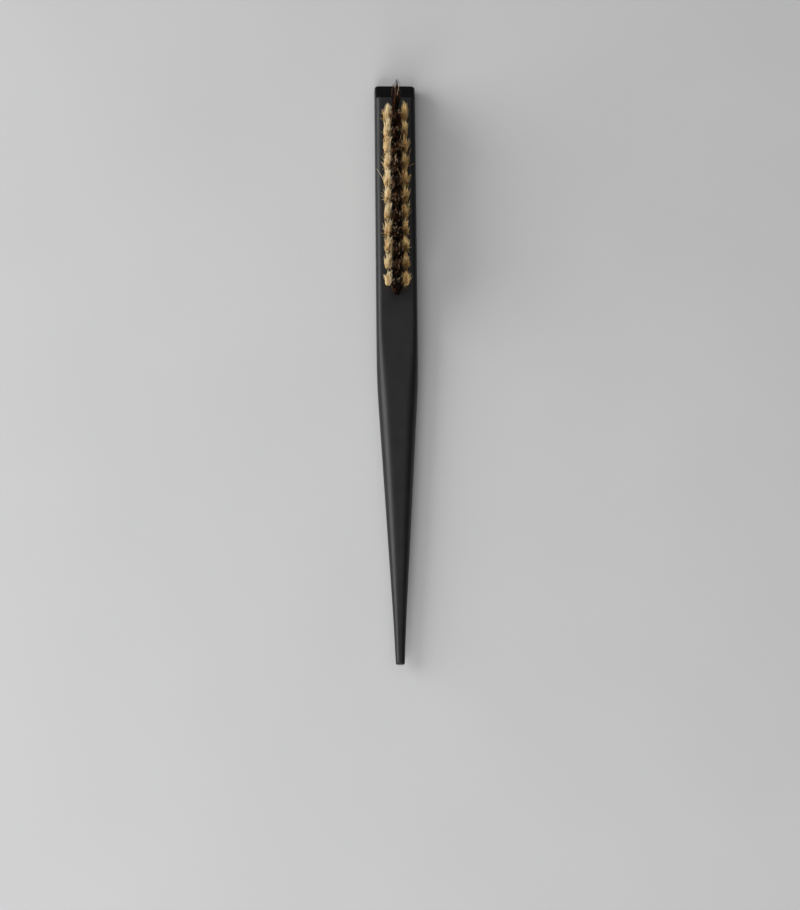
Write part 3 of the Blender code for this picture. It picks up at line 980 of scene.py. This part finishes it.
def anchor_tree(sizes):
    """Sets one stamped plate with rounded corners and chamfered rims at every site."""
    nodes, size = geometry_tree("anchor_plates", sizes)
    outline = nodes.field("GeometryNodeCurvePrimitiveQuadrilateral",
                          {"Width": size["Length"], "Height": size["Height"]})
    outline = nodes.field("GeometryNodeFilletCurve",
                          {"Curve": outline, "Count": CORNER_POINTS, "Radius": size["Edge"] * CORNER_RADIUS,
                           "Limit Radius": True}, mode="POLY")
    spine = nodes.field("GeometryNodeCurvePrimitiveLine", {"Start": (0, 0, 0), "End": (1, 0, 0)})
    spine = nodes.field("GeometryNodeResampleCurve", {"Curve": spine, "Count": PLATE_STEPS + 1})
    step = nodes.field("GeometryNodeSplineParameter", output="Index")
    across = nodes.ramp(step, 0.0, 1.0) * size["Edge"] + nodes.ramp(step, 2.0, 3.0) * size["Edge"]
    across = across + nodes.ramp(step, 1.0, 2.0) * (size["Thickness"] - size["Edge"] * 2.0)
    place = nodes.vector(across - size["Thickness"] * 0.5, 0.0, 0.0)
    spine = nodes.field("GeometryNodeSetPosition", {"Geometry": spine, "Position": place})
    inward = nodes.math("PINGPONG", step, PLATE_STEPS / 2)
    full = 1.0 - nodes.ramp(inward, 0.0, 1.0, 1.0, 0.0) * size["Edge"] * 2.0 / size["Height"]
    plate = nodes.field("GeometryNodeCurveToMesh",
                        {"Curve": spine, "Profile Curve": outline, "Scale": full, "Fill Caps": True})
    plates = nodes.field("GeometryNodeInstanceOnPoints", {"Points": size["Geometry"], "Instance": plate})
    return close_tree(nodes, plates, size["Metal"])


def build_anchors(settings):
    """Metal on the anchors that are solids, and the anchors of the centre row."""
    metal = metal_material(settings)
    for node in SIDE_ANCHORS:
        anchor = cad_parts[node]
        anchor.data.materials.clear()
        anchor.data.materials.append(metal)
    low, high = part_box(SIDE_ANCHORS[0])
    level = (low.z + high.z) / 2
    sizes = labelled(settings, "thickness", "length", "height", "edge") | {"Metal": metal}
    points = [Vector((site.x, site.y, level)) for site in map(tuft_site, DARK_TUFTS)]
    plates = grow("centre_anchors", anchor_tree(sizes), sizes, points)
    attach(plates, BODY)


# Stage

FLOOR_REACH = 6.0
SKY_PEAK = Vector((-0.30, 0.10, 0.95)).normalized()
SKY_FADE = (0.15, 0.95)
SENSOR_WIDTH = 36.0
CAMERA_CENTRE = Vector((0.0, 0.0, 0.005))
CAMERA_AIM = Vector((0.00067, -0.0340, 0.005))


def add_panel_light(name, azimuth, elevation, distance, width, height, radiance):
    """A soft rectangular panel that faces the brush; azimuth 0 is at the tail, 90 on the left."""
    across = math.radians(azimuth)
    up = math.radians(elevation)
    level = math.cos(up)
    place = distance * Vector((-math.sin(across) * level, -math.cos(across) * level, math.sin(up)))
    lamp = bpy.data.lights.new(name, "AREA")
    lamp.shape = "RECTANGLE"
    lamp.size = width
    lamp.size_y = height
    lamp.energy = radiance * math.pi * width * height
    panel = bpy.data.objects.new(name, lamp)
    panel.location = place
    panel.rotation_euler = (-place).to_track_quat("-Z", "Y").to_euler()
    bpy.context.scene.collection.objects.link(panel)


def build_world(settings):
    """A soft sky that is brightest overhead."""
    world = bpy.data.worlds.new("studio_sky")
    world.use_nodes = True
    world.node_tree.nodes.clear()
    nodes = Nodes(world.node_tree)
    direction = nodes.add("ShaderNodeTexCoord").outputs["Generated"]
    x, y, z = nodes.parts(direction)
    towards = x * SKY_PEAK.x + y * SKY_PEAK.y + z * SKY_PEAK.z
    glow = nodes.ramp(towards, *SKY_FADE, settings.sky_side, settings.sky_top, smooth=True)
    sky = nodes.add("ShaderNodeBackground", {"Color": (1.0, 1.0, 1.0, 1.0), "Strength": glow})
    nodes.add("ShaderNodeOutputWorld", {"Surface": sky.outputs[0]})
    bpy.context.scene.world = world


def build_stage(settings):
    """Floor, light and the camera at the photograph's angle."""
    floor_mesh = bpy.data.meshes.new("floor")
    corners = [(x * FLOOR_REACH, y * FLOOR_REACH, 0) for x, y in ((-1, -1), (1, -1), (1, 1), (-1, 1))]
    floor_mesh.from_pydata(corners, [], [(0, 1, 2, 3)])
    floor_mesh.materials.append(floor_material(settings))
    floor = bpy.data.objects.new("floor", floor_mesh)
    bpy.context.scene.collection.objects.link(floor)

    build_world(settings)
    add_panel_light("side_panel", azimuth=98, elevation=25, distance=1.2, width=1.1, height=0.9,
                    radiance=settings.side_panel)
    add_panel_light("front_panel", azimuth=15, elevation=37, distance=1.6, width=1.0, height=0.9,
                    radiance=settings.front_panel)

    lens = bpy.data.cameras.new("camera")
    lens.lens = settings.camera_lens
    lens.sensor_width = SENSOR_WIDTH
    camera = bpy.data.objects.new("camera", lens)
    elevation = settings.camera_elevation
    side = settings.camera_side
    level = math.cos(side)
    back = Vector((-math.sin(side), -math.cos(elevation) * level, math.sin(elevation) * level))
    place = CAMERA_CENTRE + back * settings.camera_distance
    forward = (CAMERA_AIM - place).normalized()
    right = forward.cross(Vector((0.0, 1.0, 0.0))).normalized()
    axes = Matrix((right, right.cross(forward), -forward)).transposed()
    camera.matrix_world = (Matrix.Translation(place) @ axes.to_4x4()
                           @ Matrix.Rotation(-settings.camera_roll, 4, "Z"))
    bpy.context.scene.collection.objects.link(camera)
    bpy.context.scene.camera = camera
    bpy.context.scene.view_settings.view_transform = "Standard"


# Add-on

class BRUSH_OT_handle(Operator):
    """Build the moulded handle with its tuft sockets"""

    bl_idname = "brush.build_handle"
    bl_label = "Handle"

    def execute(self, context):
        build_handle(context.scene.brush_handle)
        return {"FINISHED"}


class BRUSH_OT_light_tufts(Operator):
    """Build the two outer rows of blonde bristle"""

    bl_idname = "brush.build_light_tufts"
    bl_label = "Light tufts"

    def execute(self, context):
        build_light_tufts(context.scene.brush_light_bristle)
        return {"FINISHED"}


class BRUSH_OT_dark_tufts(Operator):
    """Build the centre row of longer dark bristle"""

    bl_idname = "brush.build_dark_tufts"
    bl_label = "Dark tufts"

    def execute(self, context):
        build_dark_tufts(context.scene.brush_dark_bristle)
        return {"FINISHED"}


class BRUSH_OT_anchors(Operator):
    """Finish the anchors at the feet of the tufts"""

    bl_idname = "brush.build_anchors"
    bl_label = "Anchors"

    def execute(self, context):
        build_anchors(context.scene.brush_anchors)
        return {"FINISHED"}


class BRUSH_OT_stage(Operator):
    """Build the floor, the light and the camera"""

    bl_idname = "brush.build_stage"
    bl_label = "Stage"

    def execute(self, context):
        build_stage(context.scene.brush_stage)
        return {"FINISHED"}


OPERATORS = (BRUSH_OT_handle, BRUSH_OT_light_tufts, BRUSH_OT_dark_tufts, BRUSH_OT_anchors, BRUSH_OT_stage)
SETTINGS = {
    "brush_handle": HandleSettings,
    "brush_light_bristle": LightBristleSettings,
    "brush_dark_bristle": DarkBristleSettings,
    "brush_anchors": AnchorSettings,
    "brush_stage": StageSettings,
}


class VIEW3D_PT_brush(Panel):
    """Lists the pieces of the brush"""

    bl_label = "Dressing brush"
    bl_space_type = "VIEW_3D"
    bl_region_type = "UI"
    bl_category = "Brush"

    def draw(self, context):
        for operator in OPERATORS:
            self.layout.operator(operator.bl_idname)
        for name in SETTINGS:
            box = self.layout.box()
            settings = getattr(context.scene, name)
            for setting in settings.bl_rna.properties:
                if setting.identifier not in {"rna_type", "name"}:
                    box.prop(settings, setting.identifier)


CLASSES = (*SETTINGS.values(), *OPERATORS, VIEW3D_PT_brush)


def register():
    for each in CLASSES:
        bpy.utils.register_class(each)
    for name, group in SETTINGS.items():
        setattr(bpy.types.Scene, name, PointerProperty(type=group))


def unregister():
    for name in SETTINGS:
        delattr(bpy.types.Scene, name)
    for each in reversed(CLASSES):
        bpy.utils.unregister_class(each)


def main():
    """Builds every piece and the stage."""
    register()
    bpy.ops.brush.build_handle()
    bpy.ops.brush.build_light_tufts()
    bpy.ops.brush.build_dark_tufts()
    bpy.ops.brush.build_anchors()
    bpy.ops.brush.build_stage()


if __name__ == "__main__":
    main()
